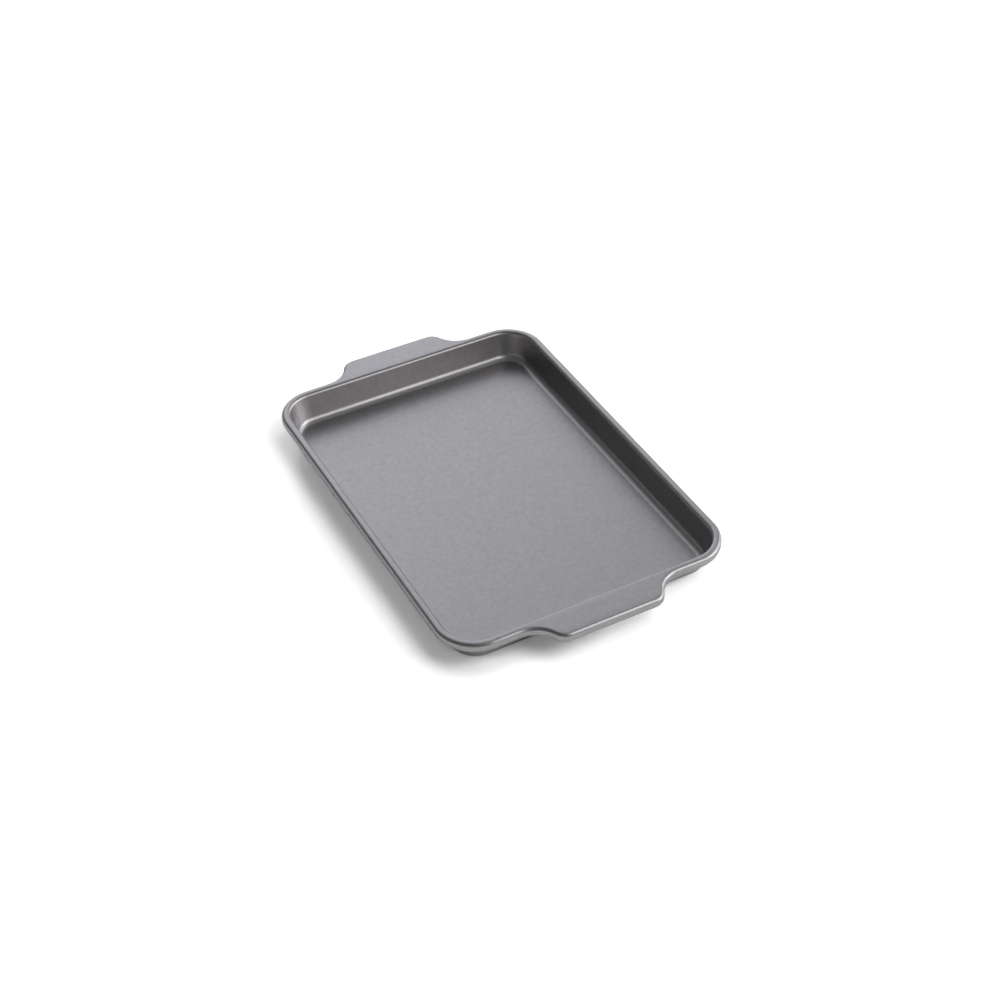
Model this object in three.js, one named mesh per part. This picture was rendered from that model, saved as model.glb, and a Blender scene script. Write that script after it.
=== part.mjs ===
// Baking sheet: one steel pressing with a handle tab at each end, its edge rolled round a stiffening wire.
// Millimetres, +Z up. X runs along the tray, from tab to tab, and Y across it. The origin is the middle of
// the flat underside, so the tray stands on z = 0.
import * as THREE from 'three';

// Tray
const RIM_LENGTH = 343; // over the rolled rim, without the tabs
const RIM_WIDTH = 242;
const TRAY_HEIGHT = 25.4; // underside of the floor to the top of the flange
const SHEET = 0.8;
const WALL_DRAFT = 13.5; // degrees from upright
const FLOOR_CORNER_RADIUS = 15.2; // in plan
const COVE_RADIUS = 6.6; // inside of the bend from floor to wall
const BROW_RADIUS = 2.2; // inside of the bend from wall to flange

// Rolled rim and its wire
const WIRE_DIAMETER = 3.6;
const WIRE_CLEARANCE = 0.3; // wire to the inside of the roll
const WIRE_END_GAP = 0.6; // between the two butted ends
const ROLL_FACE = 2.4; // upright flat of the edge, above the wire
const ROLL_WRAP = 205; // degrees round the wire, from the face to the sheet's edge
const ROLL_TO_WALL = 1.5;

// Handle tabs
const TAB_REACH = 20.2; // beyond the rim
const TAB_SHOULDER = 20.6; // straight rim between a corner of the tray and a tab
const TAB_HOLLOW_RADIUS = 22.8; // from the rim into a tab's side
const TAB_CORNER_BEND = 9.5; // of the wire, at a tab's outer corners

// Facets
const OUTLINE_STEP = 11.5; // degrees of turn in plan
const SECTION_STEP = 18; // degrees of turn across the sheet
const WIRE_SIDES = 10;
const TINY = 1e-6;

const radians = THREE.MathUtils.degToRad;
const up = Math.PI / 2;

const rollRadius = WIRE_DIAMETER / 2 + WIRE_CLEARANCE + SHEET;
const shoulderZ = TRAY_HEIGHT - rollRadius;
const wireZ = shoulderZ - ROLL_FACE;

// Wall, measured in from the rim's outer edge: it stands clear of the roll at the wire's height.
const draft = radians(WALL_DRAFT);
const browRadius = BROW_RADIUS + SHEET;
const browDrop = browRadius * (1 - Math.sin(draft));
const coveRise = COVE_RADIUS * (1 - Math.sin(draft));
const wallAtWire = 2 * rollRadius + ROLL_TO_WALL + SHEET / Math.cos(draft);
const wallTop = wallAtWire - (rollRadius + ROLL_FACE - browDrop) * Math.tan(draft);
const wallBottom = wallTop + (TRAY_HEIGHT - SHEET - browDrop - coveRise) * Math.tan(draft);
const browInset = wallTop - browRadius * Math.cos(draft);
const floorInset = wallBottom + COVE_RADIUS * Math.cos(draft);

const endX = RIM_LENGTH / 2;
const sideY = RIM_WIDTH / 2;

/** Outer edge of the rim and tabs in plan, counter-clockwise from the middle of the front long side. */
function rimOutline() {
  const rimCornerRadius = FLOOR_CORNER_RADIUS + floorInset;
  const rimCornerX = endX - rimCornerRadius;
  const rimCornerY = sideY - rimCornerRadius;
  // A tab's side is an ogee: a hollow arc off the rim that runs over into the arc of the tab's corner.
  const tabCornerRadius = TAB_CORNER_BEND + rollRadius;
  const ogee = TAB_HOLLOW_RADIUS + tabCornerRadius;
  const turn = Math.acos(1 - TAB_REACH / ogee);
  const hollowX = endX + TAB_HOLLOW_RADIUS;
  const hollowY = rimCornerY - TAB_SHOULDER;
  const tabCornerX = endX + TAB_REACH - tabCornerRadius;
  const tabCornerY = hollowY - ogee * Math.sin(turn);

  const outline = new THREE.Path();
  outline.moveTo(0, -sideY);
  outline.lineTo(rimCornerX, -sideY);
  for (const end of [1, -1]) {
    const facing = end > 0 ? 0 : Math.PI;
    const arc = (x, y, radius, from, to, clockwise) => {
      outline.absarc(end * x, end * y, radius, facing + from, facing + to, clockwise);
    };
    arc(rimCornerX, -rimCornerY, rimCornerRadius, -up, 0, false);
    arc(hollowX, -hollowY, TAB_HOLLOW_RADIUS, Math.PI, Math.PI - turn, true);
    arc(tabCornerX, -tabCornerY, tabCornerRadius, -turn, 0, false);
    arc(tabCornerX, tabCornerY, tabCornerRadius, 0, turn, false);
    arc(hollowX, hollowY, TAB_HOLLOW_RADIUS, Math.PI + turn, Math.PI, true);
    arc(rimCornerX, rimCornerY, rimCornerRadius, 0, up, false);
  }
  outline.lineTo(0, -sideY);
  return outline;
}

/** Points on a path with its direction there: one at the start of a line, one for each step of an arc. */
function pathPoints(path, stepDegrees) {
  const curves = path.curves.filter((curve) => curve.getLength() > TINY);
  return curves.flatMap((curve) => {
    const isArc = curve instanceof THREE.EllipseCurve;
    const turn = isArc ? Math.abs(curve.aEndAngle - curve.aStartAngle) : 0;
    const steps = Math.max(1, Math.ceil(turn / radians(stepDegrees) - TINY));
    return Array.from({ length: steps }, (_, i) => ({
      point: curve.getPoint(i / steps),
      tangent: curve.getTangent(i / steps),
    }));
  });
}

/**
 * Places round the outline where the sheet's section stands, each with the way out of the rim there. The
 * tray's own rim follows the outline too, but behind a tab it runs straight on.
 */
function outlineStations() {
  const edge = pathPoints(rimOutline(), OUTLINE_STEP).map(({ point, tangent }) => ({
    point,
    outward: new THREE.Vector2(tangent.y, -tangent.x),
  }));
  const tray = edge.map((station) => {
    const { x, y } = station.point;
    if (Math.abs(x) <= endX) return station;
    const end = Math.sign(x);
    return { point: new THREE.Vector2(end * endX, y), outward: new THREE.Vector2(end, 0) };
  });
  return { edge, tray };
}

/**
 * Section of the sheet, u outwards from the rim's edge and z up, in three runs: the upper face from the floor
 * over cove, wall and brow, then down the edge's face, round the wire and back inside, then the lower face
 * back to the floor.
 */
function sheetSection() {
  const browZ = TRAY_HEIGHT - browRadius;
  const coveZ = SHEET + COVE_RADIUS;
  const rollInside = rollRadius - SHEET;
  const rollTip = -radians(ROLL_WRAP);

  const upper = new THREE.Path();
  upper.absarc(-floorInset, coveZ, COVE_RADIUS, -up, -draft, false);
  upper.absarc(-browInset, browZ, browRadius, Math.PI - draft, up, true);
  const roll = new THREE.Path();
  roll.absarc(-rollRadius, shoulderZ, rollRadius, up, 0, true);
  roll.absarc(-rollRadius, wireZ, rollRadius, 0, rollTip, true);
  roll.absarc(-rollRadius, wireZ, rollInside, rollTip, 0, false);
  roll.absarc(-rollRadius, shoulderZ, rollInside, 0, up, false);
  const lower = new THREE.Path();
  lower.absarc(-browInset, browZ, BROW_RADIUS, up, Math.PI - draft, false);
  lower.absarc(-floorInset, coveZ, COVE_RADIUS + SHEET, -draft, -up, true);

  return [upper, roll, lower].map((run) => {
    const points = pathPoints(run, SECTION_STEP).map(({ point }) => point);
    return [...points, run.curves.at(-1).getPoint(1)];
  });
}

/** Ring of points at u from each station, at height z. */
function ringAt(stations, u, z) {
  return stations.map(({ point, outward }) => {
    return new THREE.Vector3(point.x + outward.x * u, point.y + outward.y * u, z);
  });
}

/** Closed solid over rings of points: each ring is joined to the next, and the two end rings are filled. */
function loft(rings) {
  const count = rings[0].length;
  const centres = [rings[0], rings.at(-1)].map((ring) => {
    return ring.reduce((sum, point) => sum.add(point), new THREE.Vector3()).divideScalar(count);
  });
  const centre = rings.length * count;
  const lastRing = centre - count;
  const index = [];
  for (let i = 0; i < count; i += 1) {
    const next = (i + 1) % count;
    index.push(centre, i, next);
    for (let here = 0; here < lastRing; here += count) {
      const there = here + count;
      index.push(here + i, there + i, there + next, here + i, there + next, here + next);
    }
    index.push(centre + 1, lastRing + next, lastRing + i);
  }
  const geometry = new THREE.BufferGeometry().setFromPoints([...rings.flat(), ...centres]);
  geometry.setIndex(index);
  geometry.computeVertexNormals();
  return geometry;
}

/** The pressing: floor, walls, flange, tabs and rolled edge in one sheet. */
function panBody({ edge, tray }) {
  const [upper, roll, lower] = sheetSection();
  const rings = [
    ...upper.map(({ x, y }) => ringAt(tray, x, y)),
    ...roll.map(({ x, y }) => ringAt(edge, x, y)),
    ...lower.map(({ x, y }) => ringAt(tray, x, y)),
  ];
  const coating = new THREE.MeshStandardMaterial({ color: 0x8f8f92, roughness: 0.4, metalness: 0.7 });
  const mesh = new THREE.Mesh(loft(rings), coating);
  mesh.name = 'pan_body';
  return mesh;
}

/** The wire in the roll, an open ring whose ends butt in the middle of the front long side. */
function rimWire({ edge }) {
  const [front, ...bends] = edge;
  const alongFront = (x) => ({ point: new THREE.Vector2(x, front.point.y), outward: front.outward });
  const stations = [alongFront(WIRE_END_GAP / 2), ...bends, alongFront(-WIRE_END_GAP / 2)];
  const circle = new THREE.EllipseCurve(-rollRadius, 0, WIRE_DIAMETER / 2, WIRE_DIAMETER / 2);
  const section = circle.getPoints(WIRE_SIDES).slice(0, WIRE_SIDES);
  const rings = stations.map((station) => section.flatMap(({ x, y }) => ringAt([station], x, y)));
  const steel = new THREE.MeshStandardMaterial({ color: 0xa9abad, roughness: 0.35, metalness: 1 });
  const mesh = new THREE.Mesh(loft(rings), steel);
  mesh.name = 'rim_wire';
  mesh.position.z = wireZ;
  return mesh;
}

const stations = outlineStations();
const bakingSheet = new THREE.Group();
bakingSheet.add(panBody(stations), rimWire(stations));

export default bakingSheet;
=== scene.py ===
"""Dresses a grey coated baking sheet for a studio picture.

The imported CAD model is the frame. Its two pieces, the steel pressing and the wire that the rim is rolled
round, are rebuilt here as smooth surfaces: the section of the sheet, worked out from a few sizes, is
carried round the outline of the rim and its two handle tabs. Lengths are metres and angles degrees in the
CAD frame: X runs along the tray, Y across it, Z up, and the tray stands on z = 0.
"""

import logging
import math
from dataclasses import dataclass
from enum import Enum

import bpy
import numpy as np
from mathutils import Matrix, Vector


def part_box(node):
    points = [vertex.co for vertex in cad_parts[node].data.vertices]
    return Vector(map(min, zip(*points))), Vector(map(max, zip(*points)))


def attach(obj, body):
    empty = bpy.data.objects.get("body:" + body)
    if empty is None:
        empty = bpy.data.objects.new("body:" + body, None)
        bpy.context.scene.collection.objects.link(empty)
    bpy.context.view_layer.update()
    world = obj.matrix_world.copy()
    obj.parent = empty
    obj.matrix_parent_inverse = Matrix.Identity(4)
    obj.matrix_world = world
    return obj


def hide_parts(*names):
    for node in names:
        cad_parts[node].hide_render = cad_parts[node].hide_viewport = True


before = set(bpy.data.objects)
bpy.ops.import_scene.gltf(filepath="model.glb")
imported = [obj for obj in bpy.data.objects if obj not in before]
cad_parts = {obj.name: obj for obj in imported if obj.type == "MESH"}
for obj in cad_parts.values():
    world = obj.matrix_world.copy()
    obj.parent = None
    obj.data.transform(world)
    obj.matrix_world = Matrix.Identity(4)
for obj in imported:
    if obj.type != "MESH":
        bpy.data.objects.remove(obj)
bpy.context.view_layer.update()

LOG = logging.getLogger("baking_sheet")
BODY = "root"

SHARP_EDGE = 50.0  # degrees
TOUCHING = 1e-6  # metres

Rgb = tuple[float, float, float]
Axis = tuple[float, float, float]

NEUTRAL: Rgb = (1.0, 1.0, 1.0)
COOL: Rgb = (0.975, 0.995, 1.06)
WARM: Rgb = (1.045, 0.985, 0.97)


class Node(Enum):
    """The CAD nodes that the smooth pieces stand for."""

    PRESSING = "pan_body"
    WIRE = "rim_wire"


# Plane curves


@dataclass(frozen=True)
class Step:
    """Longest step along a route: the turn on an arc, in degrees, and the run on a straight, in metres."""

    turn: float
    run: float


PLAN_STEP = Step(turn=2.5, run=0.010)
SECTION_STEP = Step(turn=6.0, run=0.0035)


@dataclass(frozen=True)
class Arc:
    """Part of a circle, from one angle to another; a falling angle runs clockwise.

    With no radius it is a point.
    """

    centre: tuple[float, float]
    radius: float
    start: float
    end: float

    def walk(self, turn: float) -> tuple[np.ndarray, np.ndarray]:
        """Points of the arc, centre + radius (cos a, sin a), with a in even steps.

        Args:
            turn: Largest turn between two points, in degrees.

        Returns:
            Points and the unit vectors to the right of the way along the arc, both of shape (n, 2).
        """
        sweep = self.end - self.start
        count = math.ceil(abs(sweep) / turn) + 1
        angle = np.radians(np.linspace(self.start, self.end, count))
        spoke = np.stack([np.cos(angle), np.sin(angle)], axis=1)
        return np.array(self.centre) + self.radius * spoke, spoke * (-1.0 if sweep < 0 else 1.0)


@dataclass(frozen=True)
class Route:
    """Arcs in order, each joined by a straight run to the next, and the last to the first if closed."""

    arcs: tuple[Arc, ...]
    closed: bool = False

    def walk(self, step: Step) -> tuple[np.ndarray, np.ndarray]:
        """Points along the route: those of each arc, then even steps along the straight run after it.

        Where an arc runs straight over into the next, the two share one point.

        Args:
            step: Longest step between two points.

        Returns:
            Points and the unit vectors to the right of the way there, both of shape (n, 2).
        """
        walks = [arc.walk(step.turn) for arc in self.arcs]
        followers = walks[1:] + (walks[:1] if self.closed else [])
        points, rights = [], []
        for (here, right), (there, _) in zip(walks, followers):
            gap = float(np.linalg.norm(there[0] - here[-1]))
            steps = max(1, math.ceil(gap / step.run))
            straight = np.linspace(here[-1], there[0], steps + 1)[1:-1]
            own = len(here) - (gap < TOUCHING)
            points += [here[:own], straight]
            rights += [right[:own], np.broadcast_to(right[-1], straight.shape)]
        if not self.closed:
            points.append(walks[-1][0])
            rights.append(walks[-1][1])
        return np.concatenate(points), np.concatenate(rights)


# Sizes shared by the two pieces


@dataclass(frozen=True)
class TraySizes:
    """Driving sizes of the tray; the section and the outline are worked out from them."""

    rim_length: float
    rim_width: float
    height: float
    tab_reach: float
    sheet: float = 0.0008
    wall_draft: float = 13.5
    floor_corner: float = 0.0152
    cove: float = 0.0066
    brow: float = 0.0022
    wire: float = 0.0036
    wire_clearance: float = 0.0003
    wire_end_gap: float = 0.0006
    roll_face: float = 0.0024
    roll_wrap: float = 205.0
    roll_to_wall: float = 0.0015
    tab_shoulder: float = 0.0206
    tab_hollow: float = 0.0228
    tab_corner_bend: float = 0.0095

    @classmethod
    def from_frame(cls, tab_reach: float = 0.0202) -> "TraySizes":
        """Takes the length over the tabs, the width and the height from the CAD pressing.

        Args:
            tab_reach: How far a tab stands out beyond the rim.

        Returns:
            The sizes of the tray.
        """
        low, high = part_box(Node.PRESSING.value)
        span = high - low
        return cls(span.x - 2 * tab_reach, span.y, high.z, tab_reach)

    @property
    def roll(self) -> float:
        """Radius of the rolled edge over the sheet."""
        return self.wire / 2 + self.wire_clearance + self.sheet

    @property
    def wire_height(self) -> float:
        """Height of the wire, which lies in the roll below the edge's upright face."""
        return self.height - self.roll - self.roll_face

    @property
    def brow_over(self) -> float:
        """Radius of the brow's upper face."""
        return self.brow + self.sheet

    @property
    def brow_inset(self) -> float:
        """How far in from the rim's edge the brow is centred.

        The wall below it stands clear of the roll at the wire's height, and leans out by the draft from
        there up to the brow.

        Returns:
            The distance from the rim's outer edge to the middle of the brow's bend.
        """
        draft = math.radians(self.wall_draft)
        wall_at_wire = 2 * self.roll + self.roll_to_wall + self.sheet / math.cos(draft)
        climb = self.roll + self.roll_face - self.brow_over * (1 - math.sin(draft))
        wall_top = wall_at_wire - climb * math.tan(draft)
        return wall_top - self.brow_over * math.cos(draft)

    @property
    def floor_inset(self) -> float:
        """How far in from the rim's edge the flat floor ends: the wall leans in by the draft to the cove.

        Returns:
            The distance from the rim's outer edge to the middle of the cove's bend.
        """
        draft = math.radians(self.wall_draft)
        rounded = (self.brow_over + self.cove) * (1 - math.sin(draft))
        lean = (self.height - self.sheet - rounded) * math.tan(draft)
        return self.brow_inset + lean + (self.brow_over + self.cove) * math.cos(draft)

    def outline(self) -> tuple[Arc, ...]:
        """Arcs of the rim's outer edge in plan, counter-clockwise from the front long side.

        A tab's side is an ogee: a hollow arc off the rim runs over into the arc of the tab's corner, and
        their turn brings the edge out by the tab's reach. The far end is the near one turned half round.

        Returns:
            Six arcs for each end; the straight sides lie between them.
        """
        end_x, side_y = self.rim_length / 2, self.rim_width / 2
        corner = self.floor_corner + self.floor_inset
        corner_x, corner_y = end_x - corner, side_y - corner
        tab_corner = self.tab_corner_bend + self.roll
        ogee = self.tab_hollow + tab_corner
        turn = math.degrees(math.acos(1 - self.tab_reach / ogee))
        hollow_x, hollow_y = end_x + self.tab_hollow, corner_y - self.tab_shoulder
        tab_x = end_x + self.tab_reach - tab_corner
        tab_y = hollow_y - ogee * math.sin(math.radians(turn))
        near_end = (
            Arc((corner_x, -corner_y), corner, -90, 0),
            Arc((hollow_x, -hollow_y), self.tab_hollow, 180, 180 - turn),
            Arc((tab_x, -tab_y), tab_corner, -turn, 0),
            Arc((tab_x, tab_y), tab_corner, 0, turn),
            Arc((hollow_x, hollow_y), self.tab_hollow, 180 + turn, 180),
            Arc((corner_x, corner_y), corner, 0, 90),
        )
        far_end = tuple(
            Arc((-arc.centre[0], -arc.centre[1]), arc.radius, arc.start + 180, arc.end + 180)
            for arc in near_end
        )
        return near_end + far_end


# Meshes


@dataclass(frozen=True)
class Lattice:
    """Rows of points round a closed ring, joined to their neighbours by quads."""

    rows: np.ndarray

    def quads(self) -> np.ndarray:
        """Corners of each quad: point i of a row, point i of the next, its neighbour, and point i's.

        Returns:
            Vertex numbers, of shape (quads, 4).
        """
        count, ring = self.rows.shape[:2]
        here = np.arange(ring) + np.arange(count - 1)[:, None] * ring
        onward = np.roll(here, -1, axis=1)
        return np.stack([here, here + ring, onward + ring, onward], axis=-1).reshape(-1, 4)

    def mesh(self, name: str) -> bpy.types.Mesh:
        """Closed mesh of the rows, with a fan over the first and the last one.

        Args:
            name: Name of the mesh.

        Returns:
            The mesh, shaded smooth but for sharp edges.
        """
        count, ring = self.rows.shape[:2]
        poles = self.rows[[0, -1]].mean(axis=1)
        vertices = np.concatenate([self.rows.reshape(-1, 3), poles])
        first = np.arange(ring)
        last = first + (count - 1) * ring
        pole = np.full(ring, count * ring)
        fans = np.concatenate(
            [
                np.stack([pole, first, np.roll(first, -1)], axis=1),
                np.stack([pole + 1, np.roll(last, -1), last], axis=1),
            ]
        )
        mesh = bpy.data.meshes.new(name)
        mesh.from_pydata(vertices.tolist(), [], self.quads().tolist() + fans.tolist())
        mesh.polygons.foreach_set("use_smooth", np.ones(len(mesh.polygons), dtype=bool))
        mesh.set_sharp_from_angle(angle=math.radians(SHARP_EDGE))
        mesh.validate()
        return mesh


def place(mesh: bpy.types.Mesh, material: bpy.types.Material) -> bpy.types.Object:
    """Puts a mesh into the scene at the origin, in one material.

    Args:
        mesh: Mesh whose place is in its vertices.
        material: Finish of the whole mesh.

    Returns:
        The new object, named like its mesh.
    """
    mesh.materials.append(material)
    piece = bpy.data.objects.new(mesh.name, mesh)
    bpy.context.scene.collection.objects.link(piece)
    return piece


def fit_out(piece: bpy.types.Object, node: Node) -> None:
    """Lets a piece stand for a CAD node: it rides on the node's body, and the node is hidden.

    Args:
        piece: The smooth piece.
        node: The CAD node that it hides.
    """
    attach(piece, BODY)
    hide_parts(node.value)
    LOG.info("%s: %d faces for %s", piece.name, len(piece.data.polygons), node.value)


# Finishes


class NodeSheet:
    """A node tree under construction."""

    def __init__(self, tree: bpy.types.NodeTree) -> None:
        """Starts on an empty tree."""
        tree.nodes.clear()
        self.tree = tree

    def add(self, kind: str, **settings: object) -> bpy.types.Node:
        """Adds a node.

        Args:
            kind: Blender's name of the node type.
            **settings: Properties of the node, or input sockets by name with spaces as underscores.

        Returns:
            The new node.
        """
        node = self.tree.nodes.new(kind)
        for key, value in settings.items():
            if hasattr(node, key):
                setattr(node, key, value)
            else:
                node.inputs[key.replace("_", " ")].default_value = value
        return node

    def join(self, source: bpy.types.NodeSocket, target: bpy.types.NodeSocket) -> None:
        """Links an output to an input."""
        self.tree.links.new(source, target)

    def tint(self, share: bpy.types.NodeSocket, low: Rgb, high: Rgb) -> bpy.types.NodeSocket:
        """Adds a colour that runs from one to another.

        Args:
            share: Where it lies between the two, from 0 to 1.
            low: Colour at 0.
            high: Colour at 1.

        Returns:
            The colour's socket.
        """
        mix = self.add("ShaderNodeMix", data_type="RGBA")
        inputs = {socket.identifier: socket for socket in mix.inputs}
        outputs = {socket.identifier: socket for socket in mix.outputs}
        inputs["A_Color"].default_value = (*low, 1.0)
        inputs["B_Color"].default_value = (*high, 1.0)
        self.join(share, inputs["Factor_Float"])
        return outputs["Result_Color"]


@dataclass(frozen=True)
class Noise:
    """A noise texture: the size of its largest blots, its finer layers and how strong those are."""

    size: float
    layers: float
    strength: float

    def add_to(self, sheet: NodeSheet, spot: bpy.types.NodeSocket) -> bpy.types.NodeSocket:
        """Adds the noise to a node tree.

        Args:
            sheet: The tree.
            spot: Socket with the place on the piece.

        Returns:
            The socket of the noise's value, from 0 to 1.
        """
        texture = sheet.add(
            "ShaderNodeTexNoise", Scale=1 / self.size, Detail=self.layers, Roughness=self.strength
        )
        sheet.join(spot, texture.inputs["Vector"])
        return texture.outputs["Fac"]


@dataclass(frozen=True)
class NonStickCoating:
    """Satin grey coating with fine metal flake, which mirrors softly.

    It has faint clouds and an orange-peel grain.
    """

    name: str = "grey_nonstick_coating"
    pale: Rgb = (0.450, 0.438, 0.448)
    deep: Rgb = (0.290, 0.282, 0.289)
    metallic: float = 1.0
    smoothest: float = 0.30
    roughest: float = 0.37
    clouds: Noise = Noise(size=0.004, layers=4.0, strength=0.75)
    flake: Noise = Noise(size=0.0007, layers=2.0, strength=0.5)
    peel: Noise = Noise(size=0.0011, layers=1.0, strength=0.4)
    peel_depth: float = 0.000040

    def material(self) -> bpy.types.Material:
        """Clouds tint the colour, flake varies the roughness and the peel is a shallow bump.

        Returns:
            The material, on Object coordinates.
        """
        material = bpy.data.materials.new(self.name)
        material.use_nodes = True
        sheet = NodeSheet(material.node_tree)
        spot = sheet.add("ShaderNodeTexCoord").outputs["Object"]
        colour = sheet.tint(self.clouds.add_to(sheet, spot), self.deep, self.pale)
        gloss = sheet.add("ShaderNodeMapRange", To_Min=self.smoothest, To_Max=self.roughest)
        bump = sheet.add("ShaderNodeBump", Strength=1.0, Distance=self.peel_depth)
        coat = sheet.add("ShaderNodeBsdfPrincipled", Metallic=self.metallic)
        surface = sheet.add("ShaderNodeOutputMaterial")
        sheet.join(colour, coat.inputs["Base Color"])
        sheet.join(self.flake.add_to(sheet, spot), gloss.inputs["Value"])
        sheet.join(gloss.outputs["Result"], coat.inputs["Roughness"])
        sheet.join(self.peel.add_to(sheet, spot), bump.inputs["Height"])
        sheet.join(bump.outputs["Normal"], coat.inputs["Normal"])
        sheet.join(coat.outputs["BSDF"], surface.inputs["Surface"])
        return material


@dataclass(frozen=True)
class DrawnWire:
    """Bright drawn steel wire with fine die lines along it."""

    name: str = "drawn_steel_wire"
    bright: Rgb = (0.62, 0.61, 0.60)
    dull: Rgb = (0.50, 0.49, 0.48)
    metallic: float = 1.0
    smoothest: float = 0.28
    roughest: float = 0.46
    line_width: float = 0.0004
    line_length: float = 1.0
    lines: Noise = Noise(size=1.0, layers=3.0, strength=0.5)

    def material(self) -> bpy.types.Material:
        """Noise stretched along the wire's UV length varies the colour and the roughness.

        Returns:
            The material, on the wire's UV map in metres.
        """
        material = bpy.data.materials.new(self.name)
        material.use_nodes = True
        sheet = NodeSheet(material.node_tree)
        along = sheet.add("ShaderNodeUVMap", uv_map=RimWire.UV_NAME).outputs["UV"]
        stretch = sheet.add("ShaderNodeMapping", Scale=(1 / self.line_width, 1 / self.line_length, 1.0))
        sheet.join(along, stretch.inputs["Vector"])
        shade = self.lines.add_to(sheet, stretch.outputs["Vector"])
        colour = sheet.tint(shade, self.dull, self.bright)
        gloss = sheet.add("ShaderNodeMapRange", To_Min=self.smoothest, To_Max=self.roughest)
        steel = sheet.add("ShaderNodeBsdfPrincipled", Metallic=self.metallic)
        surface = sheet.add("ShaderNodeOutputMaterial")
        sheet.join(colour, steel.inputs["Base Color"])
        sheet.join(shade, gloss.inputs["Value"])
        sheet.join(gloss.outputs["Result"], steel.inputs["Roughness"])
        sheet.join(steel.outputs["BSDF"], surface.inputs["Surface"])
        return material


# Pieces


@dataclass(frozen=True)
class PressedTray:
    """The steel pressing: floor, cove, wall, brow, flange, tabs and rolled edge in one sheet."""

    sizes: TraySizes
    finish: NonStickCoating
    floor_rows: int = 8
    flange_rows: int = 4

    def upper_section(self) -> Route:
        """Upper face across the sheet, u outwards from the rim's edge and z up.

        Returns:
            The cove and the brow, with the wall as the straight run between them.
        """
        sizes = self.sizes
        cove_z, brow_z = sizes.sheet + sizes.cove, sizes.height - sizes.brow_over
        return Route(
            (
                Arc((-sizes.floor_inset, cove_z), sizes.cove, -90, -sizes.wall_draft),
                Arc((-sizes.brow_inset, brow_z), sizes.brow_over, 180 - sizes.wall_draft, 90),
            )
        )

    def roll_section(self) -> Route:
        """Down the edge's face, round the wire to the sheet's edge, and back inside to the flange.

        Returns:
            Two arcs of the outside and two of the inside, one sheet's thickness apart.
        """
        sizes = self.sizes
        shoulder, wire = (-sizes.roll, sizes.height - sizes.roll), (-sizes.roll, sizes.wire_height)
        inside = sizes.roll - sizes.sheet
        return Route(
            (
                Arc(shoulder, sizes.roll, 90, 0),
                Arc(wire, sizes.roll, 0, -sizes.roll_wrap),
                Arc(wire, inside, -sizes.roll_wrap, 0),
                Arc(shoulder, inside, 0, 90),
            )
        )

    def lower_section(self) -> Route:
        """Lower face across the sheet, from the flange back under the brow, the wall and the cove.

        Returns:
            The brow and the cove, one sheet's thickness below those of the upper face.
        """
        sizes = self.sizes
        cove_z, brow_z = sizes.sheet + sizes.cove, sizes.height - sizes.brow_over
        return Route(
            (
                Arc((-sizes.brow_inset, brow_z), sizes.brow, 90, 180 - sizes.wall_draft),
                Arc((-sizes.floor_inset, cove_z), sizes.cove + sizes.sheet, -sizes.wall_draft, -90),
            )
        )

    def rows(self) -> np.ndarray:
        """Points of the sheet: the section is carried round the outline, to foot + u outward at height z.

        The tray's part of the section follows the rim, but runs straight on behind a tab, so its foot
        there is the edge point brought back to the rim's end. The roll follows the outer edge, tabs
        included. The flange and the tabs are ruled between the two, and the floor between its edge and
        its middle.

        Returns:
            Rows from the floor's middle over the rim and back underneath, of shape (rows, stations, 3).
        """
        edge, outward = Route(self.sizes.outline(), closed=True).walk(PLAN_STEP)
        end_x = self.sizes.rim_length / 2
        on_tab = np.abs(edge[:, :1]) > end_x
        side = np.sign(edge[:, :1])
        rim = np.where(on_tab, np.concatenate([side * end_x, edge[:, 1:]], axis=1), edge)
        rim_outward = np.where(on_tab, np.concatenate([side, np.zeros_like(side)], axis=1), outward)

        def carry(section: Route, feet: np.ndarray, ways: np.ndarray) -> np.ndarray:
            """Carries one run of the section round, to foot + u way in plan and z up.

            Args:
                section: The run.
                feet: Where u is 0, of shape (stations, 2).
                ways: Unit vectors of growing u, of the same shape.

            Returns:
                One ring for each point of the run, of shape (points, stations, 3).
            """
            across, _ = section.walk(SECTION_STEP)
            plan = feet + across[:, None, :1] * ways
            rise = np.broadcast_to(across[:, None, 1:], (*plan.shape[:2], 1))
            return np.concatenate([plan, rise], axis=2)

        def ruled(start: np.ndarray, end: np.ndarray, count: int) -> np.ndarray:
            """Rings in even steps between two rings, without either."""
            return np.linspace(start, end, count + 2)[1:-1]

        upper = carry(self.upper_section(), rim, rim_outward)
        roll = carry(self.roll_section(), edge, outward)
        lower = carry(self.lower_section(), rim, rim_outward)
        top_middle, base_middle = upper[0] * (0, 0, 1), lower[-1] * (0, 0, 1)
        return np.concatenate(
            [
                ruled(top_middle, upper[0], self.floor_rows),
                upper,
                ruled(upper[-1], roll[0], self.flange_rows),
                roll,
                ruled(roll[-1], lower[0], self.flange_rows),
                lower,
                ruled(lower[-1], base_middle, self.floor_rows),
            ]
        )

    def build(self) -> bpy.types.Object:
        """Makes the pressing in its coating, in place of its CAD node.

        Returns:
            The finished piece.
        """
        mesh = Lattice(self.rows()).mesh("pressed_tray")
        piece = place(mesh, self.finish.material())
        fit_out(piece, Node.PRESSING)
        return piece


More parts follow.
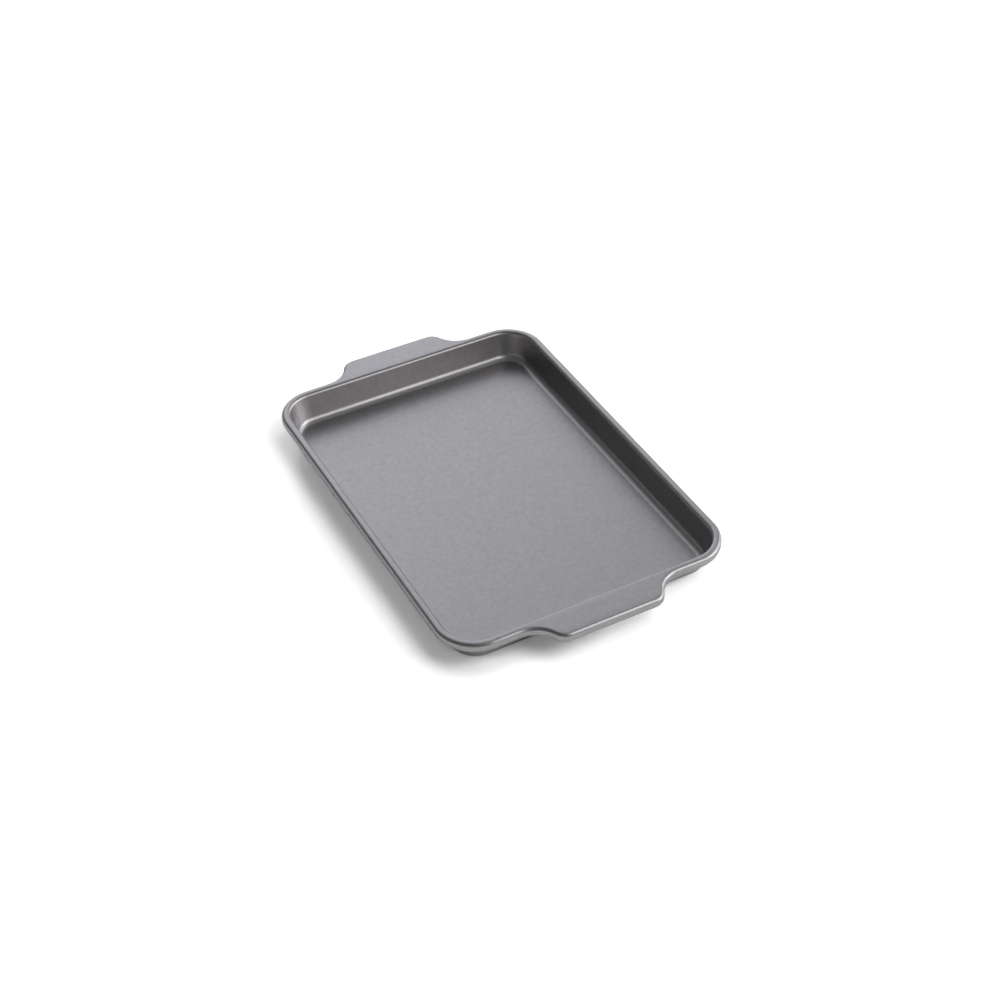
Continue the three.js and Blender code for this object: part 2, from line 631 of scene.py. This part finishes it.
@dataclass(frozen=True)
class RimWire:
    """The wire in the roll, an open ring whose ends butt in the middle of the front long side."""

    sizes: TraySizes
    finish: DrawnWire
    sides: int = 20

    UV_NAME = "along_wire"

    def rows(self) -> np.ndarray:
        """Points of the wire: a circle carried along the middle of the roll, across the way and up.

        Returns:
            Rings from one end to the other, of shape (stations, sides, 3).
        """
        sizes = self.sizes
        front, half_gap = -sizes.rim_width / 2, sizes.wire_end_gap / 2
        first, last = (Arc((x, front), 0.0, -90, -90) for x in (half_gap, -half_gap))
        edge, outward = Route((first, *sizes.outline(), last)).walk(PLAN_STEP)
        angle = np.linspace(0, 2 * math.pi, self.sides, endpoint=False)
        across = -sizes.roll + sizes.wire / 2 * np.cos(angle)
        level = sizes.wire_height + sizes.wire / 2 * np.sin(angle)
        plan = edge[:, None] + across[:, None] * outward[:, None]
        rise = np.broadcast_to(level[:, None], (*plan.shape[:2], 1))
        return np.concatenate([plan, rise], axis=2)

    def lay_uv(self, mesh: bpy.types.Mesh, rows: np.ndarray) -> None:
        """Lays a UV map over the wire: u round it and v along it, in metres from the first ring.

        Args:
            mesh: The wire's mesh, whose vertices are the rows and then its two poles.
            rows: The rings that it was made of.
        """
        middles = rows.mean(axis=1)
        steps = np.linalg.norm(np.diff(middles, axis=0), axis=1)
        along = np.concatenate([[0.0], np.cumsum(steps)])
        around = np.arange(self.sides) * math.pi * self.sizes.wire / self.sides
        grid = np.stack(np.meshgrid(around, along), axis=-1).reshape(-1, 2)
        poles = np.array([[0.0, along[0]], [0.0, along[-1]]])
        corners = np.empty(len(mesh.loops), dtype=np.int32)
        mesh.loops.foreach_get("vertex_index", corners)
        uv = mesh.uv_layers.new(name=self.UV_NAME)
        uv.data.foreach_set("uv", np.concatenate([grid, poles])[corners].ravel())

    def build(self) -> bpy.types.Object:
        """Makes the wire in drawn steel, in place of its CAD node.

        Returns:
            The finished piece.
        """
        rows = self.rows()
        mesh = Lattice(rows).mesh("rolled_in_wire")
        self.lay_uv(mesh, rows)
        piece = place(mesh, self.finish.material())
        fit_out(piece, Node.WIRE)
        return piece


# Studio


@dataclass(frozen=True)
class SoftPanel:
    """A soft light in the surround: full within one angle of its axis, and gone beyond another."""

    azimuth: float
    elevation: float
    full: float
    gone: float
    level: float
    tint: Rgb = NEUTRAL

    def axis(self) -> Axis:
        """Unit vector to the middle of the panel; azimuth turns from +X to +Y."""
        turn, rise = math.radians(self.azimuth), math.radians(self.elevation)
        return (math.cos(rise) * math.cos(turn), math.cos(rise) * math.sin(turn), math.sin(rise))


@dataclass(frozen=True)
class TableLamp:
    """A wide soft lamp far off: it draws the tray's shadow on the table, but the tray doesn't mirror it."""

    azimuth: float
    elevation: float
    spread: float
    level: float

    def build(self) -> None:
        """Makes the lamp; by itself it lights a white table to its level."""
        lamp = bpy.data.lights.new("table_lamp", "SUN")
        lamp.angle = math.radians(self.spread)
        lamp.energy = self.level * math.pi / math.sin(math.radians(self.elevation))
        holder = bpy.data.objects.new("table_lamp", lamp)
        tilt, heading = math.radians(90 - self.elevation), math.radians(self.azimuth + 90)
        holder.rotation_euler = (tilt, 0.0, heading)
        holder.visible_glossy = False
        bpy.context.scene.collection.objects.link(holder)


@dataclass(frozen=True)
class Softbox:
    """A square soft light close by, whose image runs along the bends of the sheet."""

    centre: Axis
    size: float
    radiance: float

    def build(self) -> None:
        """Makes the softbox, turned to the tray."""
        lamp = bpy.data.lights.new("softbox", "AREA")
        lamp.size = self.size
        lamp.energy = self.radiance * math.pi * self.size**2
        holder = bpy.data.objects.new("softbox", lamp)
        holder.location = self.centre
        holder.rotation_euler = Vector(self.centre).to_track_quat("Z", "Y").to_euler()
        holder.visible_camera = False
        bpy.context.scene.collection.objects.link(holder)


@dataclass(frozen=True)
class Studio:
    """White table and the surround that lights it.

    The table fills the picture and is lit past white for the camera. To all other rays it is a lower
    white, so that the tray mirrors it at about 1. The backdrop that the tray mirrors is the large panel
    behind, at about 1 too. Past the table's edge the camera sees plain white.
    """

    panels: tuple[SoftPanel, ...]
    lamps: tuple[TableLamp | Softbox, ...]
    ambient: float = 0.15
    table_half: float = 8.0
    table_white: float = 0.9
    table_mirrored: float = 0.57
    table_lift: float = 0.06

    def surround(self) -> None:
        """World shader: ambient light plus each panel, fading smoothly with the angle from its axis."""
        world = bpy.data.worlds.new("studio_surround")
        world.use_nodes = True
        bpy.context.scene.world = world
        sheet = NodeSheet(world.node_tree)
        way = sheet.add("ShaderNodeTexCoord").outputs["Generated"]
        light = None
        for panel in self.panels:
            cosine = sheet.add("ShaderNodeVectorMath", operation="DOT_PRODUCT")
            ray, axis, *_ = cosine.inputs
            axis.default_value = panel.axis()
            fade = sheet.add("ShaderNodeMapRange", interpolation_type="SMOOTHSTEP")
            fade.inputs["From Min"].default_value = math.cos(math.radians(panel.gone))
            fade.inputs["From Max"].default_value = math.cos(math.radians(panel.full))
            glow = sheet.add("ShaderNodeVectorMath", operation="MULTIPLY_ADD")
            share, colour, others, *_ = glow.inputs
            colour.default_value = tuple(panel.level * part for part in panel.tint)
            others.default_value = (self.ambient,) * 3
            sheet.join(way, ray)
            sheet.join(cosine.outputs["Value"], fade.inputs["Value"])
            sheet.join(fade.outputs["Result"], share)
            if light is not None:
                sheet.join(light, others)
            light = glow.outputs["Vector"]
        lit = sheet.add("ShaderNodeBackground")
        white = sheet.add("ShaderNodeBackground", Color=(1.0, 1.0, 1.0, 1.0), Strength=1.0)
        rays = sheet.add("ShaderNodeLightPath")
        choice = sheet.add("ShaderNodeMixShader")
        to_camera, otherwise, seen = choice.inputs
        surface = sheet.add("ShaderNodeOutputWorld")
        sheet.join(light, lit.inputs["Color"])
        sheet.join(rays.outputs["Is Camera Ray"], to_camera)
        sheet.join(lit.outputs["Background"], otherwise)
        sheet.join(white.outputs["Background"], seen)
        sheet.join(choice.outputs["Shader"], surface.inputs["Surface"])

    def table_finish(self) -> bpy.types.Material:
        """Matt white to the camera, with a little lift, and a lower white to all other rays.

        Returns:
            The table's material, which keeps the object's shadow.
        """
        material = bpy.data.materials.new("white_table")
        material.use_nodes = True
        sheet = NodeSheet(material.node_tree)
        rays = sheet.add("ShaderNodeLightPath")
        shade = sheet.add("ShaderNodeMapRange", To_Min=self.table_mirrored, To_Max=self.table_white)
        lift = sheet.add("ShaderNodeMapRange", To_Max=self.table_lift)
        matt = sheet.add("ShaderNodeBsdfDiffuse")
        glow = sheet.add("ShaderNodeEmission", Color=(1.0, 1.0, 1.0, 1.0))
        both = sheet.add("ShaderNodeAddShader")
        first, second = both.inputs
        surface = sheet.add("ShaderNodeOutputMaterial")
        for amount in (shade, lift):
            sheet.join(rays.outputs["Is Camera Ray"], amount.inputs["Value"])
        sheet.join(shade.outputs["Result"], matt.inputs["Color"])
        sheet.join(lift.outputs["Result"], glow.inputs["Strength"])
        sheet.join(matt.outputs["BSDF"], first)
        sheet.join(glow.outputs["Emission"], second)
        sheet.join(both.outputs["Shader"], surface.inputs["Surface"])
        return material

    def build(self) -> None:
        """Lays the table at z = 0 and lights it."""
        half = self.table_half
        corners = [(-half, -half, 0.0), (half, -half, 0.0), (half, half, 0.0), (-half, half, 0.0)]
        mesh = bpy.data.meshes.new("table")
        mesh.from_pydata(corners, [], [(0, 1, 2, 3)])
        place(mesh, self.table_finish())
        self.surround()
        for lamp in self.lamps:
            lamp.build()


@dataclass(frozen=True)
class StudioCamera:
    """Camera aimed at a point in the rim's plane; azimuth turns from -Y to +X, roll turns the picture."""

    azimuth: float = 62.715
    elevation: float = 40.652
    roll: float = -1.321
    aim: tuple[float, float] = (0.0349, -0.01156)
    distance: float = 1.43349
    focal_length: float = 65.814
    sensor: float = 36.0

    def build(self, rim_height: float) -> None:
        """Makes the camera and hands it to the scene.

        Args:
            rim_height: Height of the plane that holds the aim.
        """
        turn, rise, tilt = (math.radians(angle) for angle in (self.azimuth, self.elevation, self.roll))
        back = Vector((math.sin(turn) * math.cos(rise), -math.cos(turn) * math.cos(rise), math.sin(rise)))
        level = Vector((math.cos(turn), math.sin(turn), 0.0))
        upright = back.cross(level)
        right = level * math.cos(tilt) + upright * math.sin(tilt)
        top = upright * math.cos(tilt) - level * math.sin(tilt)
        lens = bpy.data.cameras.new("studio_camera")
        lens.sensor_width = self.sensor
        lens.lens = self.focal_length
        camera = bpy.data.objects.new("studio_camera", lens)
        eye = Vector((*self.aim, rim_height)) + back * self.distance
        camera.matrix_world = Matrix.Translation(eye) @ Matrix((right, top, back)).transposed().to_4x4()
        bpy.context.scene.collection.objects.link(camera)
        bpy.context.scene.camera = camera


def soft_studio() -> Studio:
    """Sets out the light: a white backdrop behind, bright panels on the right and an unlit left side.

    Faint panels overhead and below fill in. The table lamps stand high up and low on three sides, so that
    the shadow is deepest on the left and in front. Two softboxes draw highlights along the bends.

    Returns:
        The studio, not yet built.
    """
    return Studio(
        panels=(
            SoftPanel(azimuth=154, elevation=22, full=8, gone=33, level=0.98, tint=COOL),
            SoftPanel(azimuth=176, elevation=44, full=6, gone=26, level=0.48, tint=COOL),
            SoftPanel(azimuth=42, elevation=24, full=14, gone=40, level=0.38, tint=WARM),
            SoftPanel(azimuth=60, elevation=20, full=8, gone=22, level=2.6),
            SoftPanel(azimuth=94, elevation=22, full=12, gone=32, level=1.7),
            SoftPanel(azimuth=95, elevation=65, full=10, gone=30, level=0.2),
            SoftPanel(azimuth=0, elevation=-90, full=88, gone=110, level=0.3),
        ),
        lamps=(
            TableLamp(azimuth=120, elevation=68, spread=30, level=0.22),
            TableLamp(azimuth=42, elevation=52, spread=30, level=0.24),
            TableLamp(azimuth=84, elevation=12, spread=22, level=0.26),
            TableLamp(azimuth=163, elevation=12, spread=22, level=0.23),
            TableLamp(azimuth=250, elevation=12, spread=22, level=0.15),
            Softbox(centre=(0.46, 0.25, 0.41), size=0.34, radiance=1.8),
            Softbox(centre=(0.27, 0.13, 0.42), size=0.24, radiance=0.7),
        ),
    )


def main() -> None:
    """Builds the tray, its wire, the studio and the camera."""
    logging.basicConfig(level=logging.INFO, format="%(name)s: %(message)s")
    bpy.context.scene.view_settings.view_transform = "Standard"
    sizes = TraySizes.from_frame()
    PressedTray(sizes, NonStickCoating()).build()
    RimWire(sizes, DrawnWire()).build()
    soft_studio().build()
    StudioCamera().build(sizes.height)


if __name__ == "__main__":
    main()
